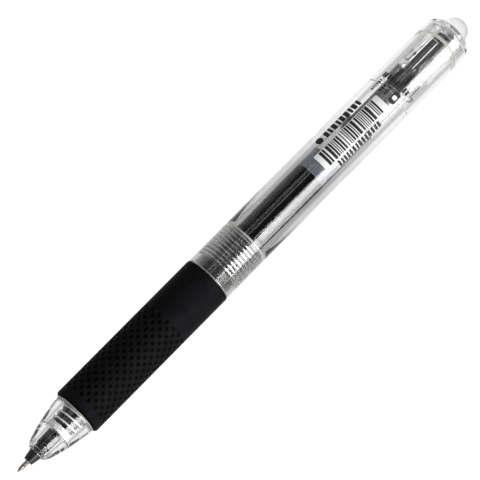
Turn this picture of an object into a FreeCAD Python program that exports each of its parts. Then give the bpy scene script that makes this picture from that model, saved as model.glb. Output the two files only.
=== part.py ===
import FreeCAD, Part
import math
import os

import Sketcher

# A retractable gel pen, lying along X. The writing point is at the origin,
# +X runs along the axis to the button, and the clip is underneath, at -Z.
# The pen is in its writing state: the tip is out and the button is in.

PARTS_FOLDER = "parts"

# Every driving dimension, in millimetres. A name that ends in _at is a
# distance along the axis from the writing point, and one that ends in
# _radius is measured from the axis.
DIMENSIONS = {
    # writing tip and its ball
    "ball_radius": 0.25,
    "ball_seat_at": 0.3,
    "ball_seat_depth": 0.22,
    "ball_clearance": 0.02,
    "tip_rim_radius": 0.285,
    "needle_at": 1.6,
    "needle_radius": 0.55,
    "needle_end_at": 9.0,
    "needle_bore_radius": 0.36,
    "needle_bore_at": 2.0,
    "ink_channel_radius": 0.15,
    "ball_spring_wire": 0.08,
    "ball_spring_radius": 0.22,
    "ball_spring_pitch": 0.5,
    "ball_spring_end_at": 8.6,
    # tip holder
    "holder_at": 3.13,
    "holder_face_radius": 1.13,
    "holder_cone_end_at": 5.56,
    "holder_neck_radius": 1.6,
    "holder_neck_end_at": 8.3,
    "holder_waist_radius": 1.85,
    "holder_waist_end_at": 14.0,
    "holder_body_radius": 2.75,
    "holder_flange_at": 30.0,
    "holder_feed_radius": 0.9,
    "holder_plug_end_at": 37.0,
    # refill
    "refill_tube_at": 32.0,
    "refill_tube_end_at": 109.5,
    "refill_radius": 3.85,
    "refill_bore_radius": 3.45,
    "ink_end_at": 94.9,
    "follower_end_at": 99.65,
    "meniscus_depth": 0.9,
    "follower_hollow": 0.45,
    # tail adapter
    "adapter_plug_at": 107.0,
    "adapter_end_at": 122.3,
    "adapter_radius": 3.15,
    "adapter_nose_radius": 2.4,
    "adapter_bore_radius": 1.9,
    "adapter_bore_at": 111.0,
    "adapter_collar_width": 0.8,
    # front barrel
    "nose_at": 5.56,
    "nose_mouth_radius": 1.75,
    "nose_face_radius": 2.2,
    "nose_swell_at": 8.2,
    "nose_swell_radius": 3.47,
    "nose_swell_curve": 7.5,
    "nose_end_at": 18.2,
    "nose_end_radius": 5.42,
    "nose_long_curve": 55.0,
    "mouth_length": 1.2,
    "nose_bore_radius": 2.1,
    "spring_seat_at": 11.8,
    "spring_bore_radius": 3.45,
    "spring_bore_end_at": 28.0,
    "barrel_bore_radius": 4.1,
    "sleeve_radius": 4.9,
    "spigot_end_at": 73.0,
    # thread that joins the two barrels
    "thread_at": 63.4,
    "thread_pitch": 1.0,
    "thread_crest_radius": 5.2,
    "thread_root_radius": 4.85,
    "thread_minor_radius": 4.95,
    "thread_major_radius": 5.3,
    "thread_land": 0.15,
    "thread_flank": 0.2,
    "thread_gap_land": 0.25,
    "thread_gap_flank": 0.15,
    # rubber grip
    "grip_radius": 6.1,
    "grip_end_at": 60.5,
    "grip_front_rounding": 0.7,
    "grip_rear_rounding": 0.25,
    # rear barrel
    "barrel_radius": 6.0,
    "barrel_at": 60.6,
    "barrel_edge_chamfer": 0.15,
    "bore_taper_radius": 5.4,
    "bore_taper_end_at": 88.0,
    "bore_taper_curve": 87.0,
    "sleeve_pocket_at": 120.6,
    "sleeve_pocket_radius": 4.6,
    # slanted joint between the rear barrel and the end cap
    "seam_at": 136.3,
    "seam_rise": 1.66,
    "seam_gap": 0.08,
    # end cap and clip
    "cap_radius": 5.95,
    "cap_shoulder_at": 140.0,
    "cap_end_at": 142.5,
    "cap_face_radius": 4.2,
    "cap_shoulder_curve": 2.9,
    "cap_hole_radius": 3.3,
    "cap_hollow_end_at": 140.8,
    "clip_width": 5.0,
    "clip_thickness": 1.3,
    "clip_root_at": 135.3,
    "clip_root_end_at": 141.0,
    "clip_root_depth": 5.3,
    "clip_tail_at": 101.5,
    "clip_top": 7.5,
    "clip_bump_at": 104.5,
    "clip_bump_top": 6.2,
    "clip_bump_curve": 2.4,
    # cam sleeve
    "cam_at": 123.4,
    "cam_end_at": 140.3,
    "cam_radius": 4.55,
    "cam_bore_radius": 4.05,
    "rib_at": 128.2,
    "rib_end_at": 137.0,
    "rib_radius": 3.35,
    "rib_width": 1.6,
    "rib_slant": 0.9,
    # button
    "button_radius": 3.15,
    "button_bore_radius": 2.35,
    "button_at": 128.1,
    "button_bore_end_at": 142.4,
    "dome_at": 143.1,
    "crown_depth": 0.9,
    "crown_width": 2.2,
    "guide_at": 129.6,
    "guide_end_at": 133.0,
    "guide_radius": 3.9,
    "guide_width": 2.0,
    # rotor
    "rotor_at": 122.4,
    "rotor_end_at": 127.2,
    "rotor_radius": 3.1,
    "rotor_chamfer": 0.4,
    "stem_radius": 2.2,
    "stem_end_at": 140.2,
    "fin_at": 124.4,
    "fin_end_at": 127.9,
    "fin_radius": 3.9,
    "fin_width": 1.6,
    "fin_slant": 0.9,
    # return spring
    "spring_wire": 0.4,
    "spring_radius": 3.05,
    "spring_pitch": 1.25,
    # fits
    "press_gap": 0.05,
    "face_gap": 0.1,
}

# A cut that goes right through a turned piece is this many times its radius long.
THROUGH = 2.2
RIB_COUNT = 4
# Degrees from the top towards +Y at which the first rib of the cam sleeve stands.
RIB_TURN = 22.5
THREAD_TURNS = 9

doc = FreeCAD.newDocument("gel_pen")


class Length:
    """A value in millimetres and the spreadsheet formula that gives it."""

    def __init__(self, value, formula):
        self.value = value
        self.formula = formula

    def __add__(self, other):
        other = as_length(other)
        return Length(self.value + other.value, f"({self.formula} + {other.formula})")

    def __sub__(self, other):
        other = as_length(other)
        return Length(self.value - other.value, f"({self.formula} - {other.formula})")

    def __mul__(self, factor):
        return Length(self.value * factor, f"({self.formula} * {factor})")

    def __neg__(self):
        return self * -1


def as_length(number):
    """Return the number as a Length; a Length is returned as it is."""
    if isinstance(number, Length):
        return number
    return Length(float(number), str(number))


def size(alias):
    """Return one driving dimension as a Length."""
    return Length(DIMENSIONS[alias], f"Dimensions.{alias}")


def make_sheet():
    """Write the driving dimensions into the spreadsheet, one alias a row."""
    sheet = doc.addObject("Spreadsheet::Sheet", "Dimensions")
    for row, (alias, value) in enumerate(DIMENSIONS.items(), start=1):
        sheet.set(f"A{row}", alias)
        sheet.set(f"B{row}", str(value))
        sheet.setAlias(f"B{row}", alias)
    doc.recompute()


def origin_feature(body, role):
    """Return the body's own origin plane or axis with this role."""
    return next(item for item in body.Origin.OriginFeatures if item.Role == role)


def arc_middle(start, end, radius):
    """Return the middle of the arc that bulges to the left of start to end."""
    chord = end - start
    half = chord.Length / 2
    left = FreeCAD.Vector(-chord.y, chord.x, 0).normalize()
    rise = abs(radius) - math.sqrt(radius * radius - half * half)
    return (start + end) * 0.5 + left * math.copysign(rise, radius)


def fix_coordinate(sketch, kind, point, length, name):
    """Hold one coordinate of a sketch point at a spreadsheet length."""
    geometry, end = point
    if length.value == 0:
        axis = -2 if kind == "DistanceX" else -1
        sketch.addConstraint(Sketcher.Constraint("PointOnObject", geometry, end, axis))
        return
    if length.value > 0:
        ends = (-1, 1, geometry, end)
    else:
        ends = (geometry, end, -1, 1)
        length = -length
    index = sketch.addConstraint(Sketcher.Constraint(kind, *ends, length.value))
    sketch.renameConstraint(index, name)
    sketch.setExpression(f"Constraints.{name}", length.formula)


def draw(body, name, plane, corners):
    """Draw a closed outline on an origin plane.

    Each corner is (across, up) or (across, up, curve). A curve is the radius
    of the arc that leads to the next corner: it bulges to the left of the
    way there, or to the right if the radius is negative.
    """
    sketch = body.newObject("Sketcher::SketchObject", name)
    sketch.AttachmentSupport = [(origin_feature(body, plane), "")]
    sketch.MapMode = "FlatFace"
    corners = [tuple(as_length(value) for value in corner) for corner in corners]
    spots = [FreeCAD.Vector(corner[0].value, corner[1].value, 0) for corner in corners]
    first_ends = []
    last_ends = []
    for number, corner in enumerate(corners):
        start = spots[number]
        end = spots[(number + 1) % len(spots)]
        if len(corner) == 2:
            edge = sketch.addGeometry(Part.LineSegment(start, end))
            first_ends.append((edge, 1))
            last_ends.append((edge, 2))
            continue
        middle = arc_middle(start, end, corner[2].value)
        edge = sketch.addGeometry(Part.Arc(start, middle, end))
        forward = sketch.getPoint(edge, 1).distanceToPoint(start) < 1e-6
        first_ends.append((edge, 1 if forward else 2))
        last_ends.append((edge, 2 if forward else 1))
    for number, corner in enumerate(corners):
        joined = first_ends[(number + 1) % len(corners)]
        sketch.addConstraint(Sketcher.Constraint("Coincident", *last_ends[number], *joined))
    for number, corner in enumerate(corners):
        fix_coordinate(sketch, "DistanceX", first_ends[number], corner[0], f"across_{number}")
        fix_coordinate(sketch, "DistanceY", first_ends[number], corner[1], f"up_{number}")
        if len(corner) == 3:
            curve = as_length(corner[2])
            if curve.value < 0:
                curve = -curve
            radius = Sketcher.Constraint("Radius", first_ends[number][0], curve.value)
            index = sketch.addConstraint(radius)
            sketch.renameConstraint(index, f"curve_{number}")
            sketch.setExpression(f"Constraints.curve_{number}", curve.formula)
    return sketch


def new_body(label):
    """Start the body of one sub-part."""
    return doc.addObject("PartDesign::Body", label)


def turn(body, name, corners, cut=False):
    """Turn an outline of (along, radius) corners about the pen's axis."""
    sketch = draw(body, f"{name}_outline", "XZ_Plane", corners)
    kind = "PartDesign::Groove" if cut else "PartDesign::Revolution"
    feature = body.newObject(kind, name)
    feature.Profile = sketch
    feature.ReferenceAxis = (sketch, ["H_Axis"])
    feature.Angle = 360
    return feature


def extrude(body, name, plane, corners, length, offset=None, cut=False, middle=False):
    """Pad or pocket an outline, from its plane or evenly to both sides."""
    sketch = draw(body, f"{name}_outline", plane, corners)
    if offset is not None:
        sketch.setExpression("AttachmentOffset.Base.z", offset.formula)
    feature = body.newObject("PartDesign::Pocket" if cut else "PartDesign::Pad", name)
    feature.Profile = sketch
    feature.setExpression("Length", length.formula)
    feature.Midplane = middle
    return feature


def around_axis(body, name, feature, count, angle=360):
    """Repeat a feature around the pen's axis."""
    pattern = body.newObject("PartDesign::PolarPattern", name)
    pattern.Originals = [feature]
    pattern.Axis = (origin_feature(body, "X_Axis"), [""])
    pattern.Angle = angle
    pattern.Occurrences = count
    body.Tip = pattern
    return pattern


def along_axis(body, name, feature, count, pitch):
    """Repeat a feature along the pen's axis."""
    pattern = body.newObject("PartDesign::LinearPattern", name)
    pattern.Originals = [feature]
    pattern.Direction = (feature.Profile[0], ["H_Axis"])
    pattern.Mode = "Spacing"
    pattern.setExpression("Offset", pitch.formula)
    pattern.Occurrences = count
    body.Tip = pattern
    return pattern


def coil_spring(label, start, end, pitch, radius, wire):
    """Sweep a round wire along a helix from start to end on the axis."""
    path = doc.addObject("Part::Helix", f"{label}_path")
    path.setExpression("Pitch", pitch.formula)
    path.setExpression("Height", (end - start - wire).formula)
    path.setExpression("Radius", radius.formula)
    section = doc.addObject("Part::Circle", f"{label}_section")
    section.setExpression("Radius", (wire * 0.5).formula)
    section.Placement.Rotation = FreeCAD.Rotation(FreeCAD.Vector(1, 0, 0), 90)
    section.setExpression("Placement.Base.x", radius.formula)
    spring = doc.addObject("Part::Sweep", label)
    spring.Sections = [section]
    spring.Spine = (path, ["Edge1"])
    spring.Solid = True
    spring.Frenet = True
    spring.Placement.Rotation = FreeCAD.Rotation(FreeCAD.Vector(0, 1, 0), 90)
    spring.setExpression("Placement.Base.x", (start + wire * 0.5).formula)
    return spring


def turn_about_axis(body, degrees):
    """Turn a whole piece about the pen's axis, from the top towards -Y."""
    body.Placement.Rotation = FreeCAD.Rotation(FreeCAD.Vector(1, 0, 0), degrees)


def add_fins(body, name, start, end, width, reach):
    """Add slanted fins to a turned piece, and turn it so they meet the slots."""
    half = size(width) * 0.5
    inner = size("rotor_radius") - size("rotor_chamfer")
    fin = extrude(body, name, "XY_Plane", [
        (size(start), -half),
        (size(end) - size("fin_slant"), -half),
        (size(end), half),
        (size(start), half),
    ], size(reach) - inner, offset=inner)
    around_axis(body, f"{name}s", fin, RIB_COUNT)
    turn_about_axis(body, 180 / RIB_COUNT - RIB_TURN)


def make_writing_ball():
    """The ball that rolls the ink onto the paper."""
    ball = doc.addObject("Part::Sphere", "writing_ball")
    ball.setExpression("Radius", "Dimensions.ball_radius")
    ball.setExpression("Placement.Base.x", "Dimensions.ball_radius")
    return ball


def make_tip_body():
    """The steel needle that holds the ball, bored through for the ink."""
    seat = size("ball_seat_at")
    seat_end = seat + size("ball_seat_depth")
    seat_radius = size("ball_radius") + size("ball_clearance") * 0.5
    needle = size("needle_radius")
    needle_end = size("needle_end_at")
    body = new_body("tip_body")
    turn(body, "tip_turned", [
        (seat, seat_radius),
        (seat, size("tip_rim_radius")),
        (size("needle_at"), needle),
        (needle_end, needle),
        (needle_end, size("needle_bore_radius")),
        (size("needle_bore_at"), size("needle_bore_radius")),
        (size("needle_bore_at"), size("ink_channel_radius")),
        (seat_end, size("ink_channel_radius")),
        (seat_end, seat_radius),
    ])
    return body


def make_ball_spring():
    """The fine spring inside the needle, behind the ball."""
    return coil_spring(
        "ball_spring",
        size("needle_bore_at") + size("press_gap"),
        size("ball_spring_end_at"),
        size("ball_spring_pitch"),
        size("ball_spring_radius"),
        size("ball_spring_wire"),
    )


def make_tip_holder():
    """The black moulding that carries the needle and plugs the refill tube."""
    front = size("holder_at")
    needle_hole = size("needle_radius") + size("press_gap") * 0.5
    feed = size("holder_feed_radius")
    feed_start = size("needle_end_at") + size("press_gap")
    plug = size("refill_bore_radius") - size("press_gap")
    tube = size("refill_tube_at") - size("press_gap")
    body = new_body("tip_holder")
    turn(body, "holder_turned", [
        (front, needle_hole),
        (front, size("holder_face_radius")),
        (size("holder_cone_end_at"), size("holder_neck_radius")),
        (size("holder_neck_end_at"), size("holder_neck_radius")),
        (size("holder_neck_end_at"), size("holder_waist_radius")),
        (size("holder_waist_end_at"), size("holder_waist_radius")),
        (size("holder_waist_end_at"), size("holder_body_radius")),
        (size("holder_flange_at"), size("holder_body_radius")),
        (size("holder_flange_at"), size("refill_radius")),
        (tube, size("refill_radius")),
        (tube, plug),
        (size("holder_plug_end_at"), plug),
        (size("holder_plug_end_at"), feed),
        (feed_start, feed),
        (feed_start, needle_hole),
    ])
    return body


def make_refill_tube():
    """The clear tube that holds the ink."""
    body = new_body("refill_tube")
    turn(body, "tube_turned", [
        (size("refill_tube_at"), size("refill_bore_radius")),
        (size("refill_tube_at"), size("refill_radius")),
        (size("refill_tube_end_at"), size("refill_radius")),
        (size("refill_tube_end_at"), size("refill_bore_radius")),
    ])
    return body


def make_ink():
    """The ink column, with its feed through the tip holder."""
    column = size("refill_bore_radius") - size("press_gap")
    feed = size("holder_feed_radius") - size("press_gap")
    feed_start = size("needle_end_at") + size("press_gap") * 2
    column_start = size("holder_plug_end_at") + size("press_gap")
    body = new_body("ink")
    turn(body, "ink_turned", [
        (feed_start, 0),
        (feed_start, feed),
        (column_start, feed),
        (column_start, column),
        (size("ink_end_at") - size("meniscus_depth"), column),
        (size("ink_end_at"), 0),
    ])
    return body


def make_grease_follower():
    """The grease plug that follows the ink, hollowed by the ink's meniscus."""
    plug = size("refill_bore_radius") - size("press_gap")
    start = size("ink_end_at") + size("press_gap")
    body = new_body("grease_follower")
    turn(body, "follower_turned", [
        (start, 0),
        (start - size("meniscus_depth"), plug),
        (size("follower_end_at"), plug),
        (size("follower_end_at") - size("follower_hollow"), 0),
    ])
    return body


def make_tail_adapter():
    """The grey pusher behind the refill tube, plugged into its end."""
    plug = size("refill_bore_radius") - size("press_gap")
    tube_end = size("refill_tube_end_at") + size("press_gap")
    collar_end = tube_end + size("adapter_collar_width")
    body = new_body("tail_adapter")
    turn(body, "adapter_turned", [
        (size("adapter_plug_at"), 0),
        (size("adapter_plug_at"), size("adapter_nose_radius")),
        (size("adapter_plug_at") + size("adapter_collar_width"), plug),
        (tube_end, plug),
        (tube_end, size("refill_radius")),
        (collar_end, size("refill_radius")),
        (collar_end, size("adapter_radius")),
        (size("adapter_end_at"), size("adapter_radius")),
        (size("adapter_end_at"), size("adapter_bore_radius")),
        (size("adapter_bore_at"), size("adapter_bore_radius")),
        (size("adapter_bore_at"), 0),
    ])
    return body


def make_front_barrel():
    """The clear nose, the sleeve under the grip and the threaded spigot."""
    mouth_end = size("nose_at") + size("mouth_length")
    pitch = size("thread_pitch")
    thread_end = size("thread_at") + pitch * THREAD_TURNS
    crest = size("thread_crest_radius")
    root = size("thread_root_radius")
    sleeve = size("sleeve_radius")
    body = new_body("front_barrel")
    turn(body, "front_turned", [
        (size("nose_at"), size("nose_mouth_radius")),
        (size("nose_at"), size("nose_face_radius"), size("nose_swell_curve")),
        (size("nose_swell_at"), size("nose_swell_radius"), size("nose_long_curve")),
        (size("nose_end_at"), size("nose_end_radius")),
        (size("nose_end_at"), sleeve),
        (size("thread_at"), sleeve),
        (size("thread_at"), crest),
        (thread_end, crest),
        (thread_end, sleeve),
        (size("spigot_end_at"), sleeve),
        (size("spigot_end_at"), size("barrel_bore_radius")),
        (size("spring_bore_end_at"), size("barrel_bore_radius")),
        (size("spring_bore_end_at"), size("spring_bore_radius")),
        (size("spring_seat_at"), size("spring_bore_radius")),
        (size("spring_seat_at"), size("nose_bore_radius")),
        (mouth_end, size("nose_bore_radius")),
        (mouth_end, size("nose_mouth_radius")),
    ])
    middle = size("thread_at")
    bottom = pitch * 0.5 - size("thread_land") - size("thread_flank")
    top = pitch * 0.5 - size("thread_land")
    clear = crest + size("thread_land")
    groove = turn(body, "thread_groove", [
        (middle - bottom, root),
        (middle - top, crest),
        (middle - top, clear),
        (middle + top, clear),
        (middle + top, crest),
        (middle + bottom, root),
    ], cut=True)
    along_axis(body, "thread_grooves", groove, THREAD_TURNS + 1, pitch)
    return body


def make_rubber_grip():
    """The rubber sleeve over the front barrel."""
    bore = size("sleeve_radius") + size("press_gap")
    front = size("nose_end_at") + size("press_gap")
    back = size("grip_end_at")
    outside = size("grip_radius")
    front_rounding = size("grip_front_rounding")
    rear_rounding = size("grip_rear_rounding")
    body = new_body("rubber_grip")
    turn(body, "grip_turned", [
        (front, bore),
        (front, outside - front_rounding, front_rounding),
        (front + front_rounding, outside),
        (back - rear_rounding, outside, rear_rounding),
        (back, outside - rear_rounding),
        (back, bore),
    ])
    return body


def make_rear_barrel():
    """The clear tube behind the grip, with its socket and its cam pocket."""
    front = size("barrel_at")
    chamfer = size("barrel_edge_chamfer")
    outside = size("barrel_radius")
    socket_end = size("spigot_end_at") + size("press_gap")
    socket = size("thread_minor_radius")
    back = size("seam_at") + size("seam_rise") * 2
    body = new_body("rear_barrel")
    turn(body, "rear_turned", [
        (front, socket),
        (front, outside - chamfer),
        (front + chamfer, outside),
        (back, outside),
        (back, size("sleeve_pocket_radius")),
        (size("sleeve_pocket_at"), size("sleeve_pocket_radius")),
        (size("sleeve_pocket_at"), size("barrel_bore_radius")),
        (size("bore_taper_end_at"), size("barrel_bore_radius"), -size("bore_taper_curve")),
        (socket_end, size("bore_taper_radius")),
        (socket_end, socket),
    ])
    pitch = size("thread_pitch")
    middle = size("thread_at") + pitch * 0.5
    top = size("thread_gap_land")
    bottom = top + size("thread_gap_flank")
    groove = turn(body, "socket_groove", [
        (middle - bottom, socket - size("press_gap")),
        (middle - bottom, socket),
        (middle - top, size("thread_major_radius")),
        (middle + top, size("thread_major_radius")),
        (middle + bottom, socket),
        (middle + bottom, socket - size("press_gap")),
    ], cut=True)
    along_axis(body, "socket_grooves", groove, THREAD_TURNS, pitch)
    seam = size("seam_at")
    rise = size("seam_rise")
    beyond = back + rise
    extrude(body, "slanted_end", "XZ_Plane", [
        (seam - rise, -outside),
        (seam + rise, outside),
        (beyond, outside),
        (beyond, -outside),
    ], outside * THROUGH, cut=True, middle=True)
    return body


def make_cam_sleeve():
    """The fixed sleeve whose slanted ribs index the rotor."""
    width = size("rib_width") * 0.5
    body = new_body("cam_sleeve")
    turn(body, "cam_turned", [
        (size("cam_at"), size("cam_bore_radius")),
        (size("cam_at"), size("cam_radius")),
        (size("cam_end_at"), size("cam_radius")),
        (size("cam_end_at"), size("cam_bore_radius")),
    ])
    rib_height = size("cam_bore_radius") + size("press_gap") - size("rib_radius")
    rib = extrude(body, "rib", "XY_Plane", [
        (size("rib_at"), -width),
        (size("rib_end_at"), -width),
        (size("rib_end_at"), width),
        (size("rib_at") + size("rib_slant"), width),
    ], rib_height, offset=size("rib_radius"))
    around_axis(body, "ribs", rib, RIB_COUNT)
    turn_about_axis(body, -RIB_TURN)
    return body


def make_end_cap():
    """The clear cap, slanted to meet the barrel, with the clip under it."""
    outside = size("cap_radius")
    inside = size("sleeve_pocket_radius")
    seam = size("seam_at") + size("seam_gap")
    rise = size("seam_rise")
    front = size("seam_at") - rise * 2
    hollow_end = size("cap_hollow_end_at")
    body = new_body("end_cap")
    turn(body, "cap_turned", [
        (front, inside),
        (front, outside),
        (size("cap_shoulder_at"), outside, size("cap_shoulder_curve")),
        (size("cap_end_at"), size("cap_face_radius")),
        (size("cap_end_at"), size("cap_hole_radius")),
        (hollow_end, size("cap_hole_radius")),
        (hollow_end, inside),
    ])
    extrude(body, "slanted_front", "XZ_Plane", [
        (seam - rise, -outside),
        (front - rise, -outside),
        (front - rise, outside),
        (seam + rise, outside),
    ], outside * THROUGH, cut=True, middle=True)
    top = -size("clip_top")
    bottom = top - size("clip_thickness")
    bump = size("clip_bump_at")
    bump_half = size("clip_thickness")
    root = size("clip_root_at")
    extrude(body, "clip", "XZ_Plane", [
        (root, -size("clip_root_depth")),
        (size("clip_root_end_at"), -size("clip_root_depth"), size("clip_bump_curve") * 2),
        (size("clip_root_end_at") - size("clip_thickness") * 2, bottom),
        (size("clip_tail_at") + size("clip_thickness"), bottom),
        (size("clip_tail_at"), top),
        (bump - bump_half, -size("clip_bump_top")),
        (bump + bump_half, -size("clip_bump_top")),
        (bump + size("clip_bump_curve"), top),
        (root - size("clip_thickness"), top),
    ], size("clip_width"), middle=True)
    return body


def make_button():
    """The clear hollow plunger with its dome, crown notches and guides."""
    outside = size("button_radius")
    bore = size("button_bore_radius")
    front = size("button_at")
    body = new_body("button")
    turn(body, "button_turned", [
        (front, bore),
        (front, outside),
        (size("dome_at"), outside, outside),
        (size("dome_at") + outside, 0),
        (size("button_bore_end_at"), 0),
        (size("button_bore_end_at"), bore),
    ])
    half = size("crown_width") * 0.5
    notch = extrude(body, "crown_notch", "XY_Plane", [
        (front - size("crown_depth"), -half),
        (front, -half),
        (front + size("crown_depth"), half),
        (front - size("crown_depth"), half),
    ], outside * THROUGH, cut=True, middle=True)
    around_axis(body, "crown_notches", notch, RIB_COUNT // 2, 180)
    add_fins(body, "guide", "guide_at", "guide_end_at", "guide_width", "guide_radius")
    return body


def make_rotor():
    """The dark indexing piece, with slanted fins and a long stem."""
    chamfer = size("rotor_chamfer")
    stem = size("stem_radius")
    body = new_body("rotor")
    turn(body, "rotor_turned", [
        (size("rotor_at"), 0),
        (size("rotor_at"), size("rotor_radius") - chamfer),
        (size("rotor_at") + chamfer, size("rotor_radius")),
        (size("rotor_end_at"), size("rotor_radius")),
        (size("rotor_end_at"), stem),
        (size("stem_end_at") - chamfer, stem),
        (size("stem_end_at"), stem - chamfer),
        (size("stem_end_at"), 0),
    ])
    add_fins(body, "fin", "fin_at", "fin_end_at", "fin_width", "fin_radius")
    return body


def make_return_spring():
    """The spring between the nose and the tip holder's flange."""
    gap = size("press_gap")
    return coil_spring(
        "return_spring",
        size("spring_seat_at") + gap,
        size("holder_flange_at") - gap,
        size("spring_pitch"),
        size("spring_radius"),
        size("spring_wire"),
    )


def check_and_export(sub_parts):
    """Stop if any object failed or any shape is bad, then write the files."""
    for item in doc.Objects:
        bad_states = {"Invalid", "Error"} & set(item.State)
        if bad_states:
            raise RuntimeError(f"{item.Label} is {', '.join(sorted(bad_states))}")
    for sub_part in sub_parts:
        shape = sub_part.Shape
        if shape.isNull() or not shape.isValid():
            raise RuntimeError(f"{sub_part.Label} has no valid shape")
        print(f"{sub_part.Label}: {shape.Volume:.2f} mm3, {len(shape.Solids)} solid")
    os.makedirs(PARTS_FOLDER, exist_ok=True)
    for sub_part in sub_parts:
        sub_part.Shape.exportStep(os.path.join(PARTS_FOLDER, f"{sub_part.Label}.step"))


def main():
    make_sheet()
    sub_parts = [
        make_writing_ball(),
        make_tip_body(),
        make_ball_spring(),
        make_tip_holder(),
        make_refill_tube(),
        make_ink(),
        make_grease_follower(),
        make_tail_adapter(),
        make_front_barrel(),
        make_rubber_grip(),
        make_rear_barrel(),
        make_cam_sleeve(),
        make_end_cap(),
        make_button(),
        make_rotor(),
        make_return_spring(),
    ]
    doc.recompute()
    check_and_export(sub_parts)


main()
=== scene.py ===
import math
import random

import bmesh
import bpy
from mathutils import Matrix, Vector


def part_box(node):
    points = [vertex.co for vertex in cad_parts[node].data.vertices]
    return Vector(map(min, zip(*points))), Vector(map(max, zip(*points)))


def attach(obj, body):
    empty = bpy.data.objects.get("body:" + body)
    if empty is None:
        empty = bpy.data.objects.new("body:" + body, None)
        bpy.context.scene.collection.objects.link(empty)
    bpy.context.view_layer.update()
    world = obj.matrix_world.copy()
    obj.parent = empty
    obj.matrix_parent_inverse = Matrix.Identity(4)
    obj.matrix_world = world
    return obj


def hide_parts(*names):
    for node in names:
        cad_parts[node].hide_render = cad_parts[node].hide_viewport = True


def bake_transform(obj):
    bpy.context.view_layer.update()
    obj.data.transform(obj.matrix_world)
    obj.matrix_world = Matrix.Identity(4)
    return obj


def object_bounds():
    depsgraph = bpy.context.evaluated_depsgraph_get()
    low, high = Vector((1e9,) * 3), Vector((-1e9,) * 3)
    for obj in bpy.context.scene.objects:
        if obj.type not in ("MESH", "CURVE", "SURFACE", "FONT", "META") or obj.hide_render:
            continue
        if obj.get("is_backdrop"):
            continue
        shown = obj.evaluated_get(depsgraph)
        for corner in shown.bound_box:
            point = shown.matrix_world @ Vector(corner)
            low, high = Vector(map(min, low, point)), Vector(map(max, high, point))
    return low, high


# A retractable gel pen along X: writing point at the origin, button at +X,
# printed side up, clip underneath. Sizes here are in millimetres, and MM turns
# them into the frame's metres.

MM = 0.001

# Points round the axis on a turned piece.
AROUND = 192

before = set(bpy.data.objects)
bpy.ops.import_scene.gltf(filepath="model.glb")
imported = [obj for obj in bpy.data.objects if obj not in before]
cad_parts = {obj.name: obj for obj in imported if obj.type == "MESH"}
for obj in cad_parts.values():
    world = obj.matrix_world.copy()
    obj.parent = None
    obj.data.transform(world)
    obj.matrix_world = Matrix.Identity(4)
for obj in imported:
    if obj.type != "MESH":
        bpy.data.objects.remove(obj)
cad_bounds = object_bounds()


def extent(node):
    """Return where a CAD node starts and ends along the axis, in millimetres."""
    low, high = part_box(node)
    return low[0] / MM, high[0] / MM


# Where things are along the axis, from the frame.
NOSE_AT, SPIGOT_END = extent("front_barrel")
GRIP_AT, GRIP_END = extent("rubber_grip")
BARREL_AT = extent("rear_barrel")[0]
CAM_AT, CAM_END = extent("cam_sleeve")
TUBE_AT, TUBE_END = extent("refill_tube")
HOLDER_AT, HOLDER_END = extent("tip_holder")
INK_AT, INK_END = extent("ink")
FOLLOWER_END = extent("grease_follower")[1]
ADAPTER_AT, ADAPTER_END = extent("tail_adapter")
ROTOR_AT, STEM_END = extent("rotor")
BUTTON_AT, BUTTON_END = extent("button")
CLIP_TAIL, CAP_END = extent("end_cap")
SPRING_AT, SPRING_END = extent("return_spring")
TIP_AT, NEEDLE_END = extent("tip_body")
CLIP_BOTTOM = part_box("end_cap")[0][2] / MM

# Radii that the frame's boxes don't give, and the gap between pieces that fit together.
BARREL_RADIUS = 6.0
BORE_RADIUS = 4.1
SLEEVE_RADIUS = 4.9
POCKET_RADIUS = 4.6
REFILL_RADIUS = 3.85
REFILL_BORE = 3.45
FIT = 0.05

# Where the nose ends and the rubber grip begins, and where the cam sleeve's pocket begins.
NOSE_END = 18.2
POCKET_AT = 120.6

# The click mechanism has this many ribs, and as many grooves between them. The first rib
# stands RIB_TURN degrees from the top towards +Y, and the first groove at GROOVE_TURN.
RIBS = 4
RIB_TURN = 22.5
GROOVE_TURN = RIB_TURN + 180 / RIBS

# The slanted joint between the barrel and its cap: where it is, and its rise.
SEAM_AT = 136.3
SEAM_RISE = 1.66


# ---------------------------------------------------------------- the studio

# The camera leans from straight overhead by VIEW_LEAN. Lengths of the studio are in metres.
VIEW_LEAN = math.radians(12.5)
PEN_MIDDLE = 0.073

# The floor lies FLOOR_DROP under the pen. It is white out to FLOOR_WHITE from the point
# that the camera looks at, and fades over FLOOR_FADE to FLOOR_DIM of that brightness.
FLOOR_DROP = 0.12
FLOOR_WHITE = 0.115
FLOOR_FADE = 0.04
FLOOR_DIM = 0.55

# Lamps hang parallel to the pen, most of them from one end of the room to the other.
ROOM_START = -0.54
ROOM_END = 1.26
KEY_TILT = 46.5
KEY_SPREAD = 42


def make_camera():
    """A long lens, looking almost straight down on the printed side."""
    distance = 0.650
    roll = math.radians(45.24)
    aim_right = -0.00124
    aim_up = 0.00036
    away = Vector((math.sin(VIEW_LEAN), 0, -math.cos(VIEW_LEAN)))
    pen_axis = Vector((math.cos(VIEW_LEAN), 0, math.sin(VIEW_LEAN)))
    pen_side = Vector((0, 1, 0))
    right = pen_axis * math.cos(roll) - pen_side * math.sin(roll)
    up = pen_axis * math.sin(roll) + pen_side * math.cos(roll)
    aim = Vector((PEN_MIDDLE, 0, 0)) + right * aim_right + up * aim_up
    data = bpy.data.cameras.new("camera")
    data.sensor_width = 36
    data.lens = 216
    data.clip_start = 0.01
    data.clip_end = 20
    camera = bpy.data.objects.new("camera", data)
    bpy.context.scene.collection.objects.link(camera)
    turn = Matrix((right, up, -away)).transposed().to_4x4()
    camera.matrix_world = Matrix.Translation(aim - away * distance) @ turn
    bpy.context.scene.camera = camera


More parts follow.
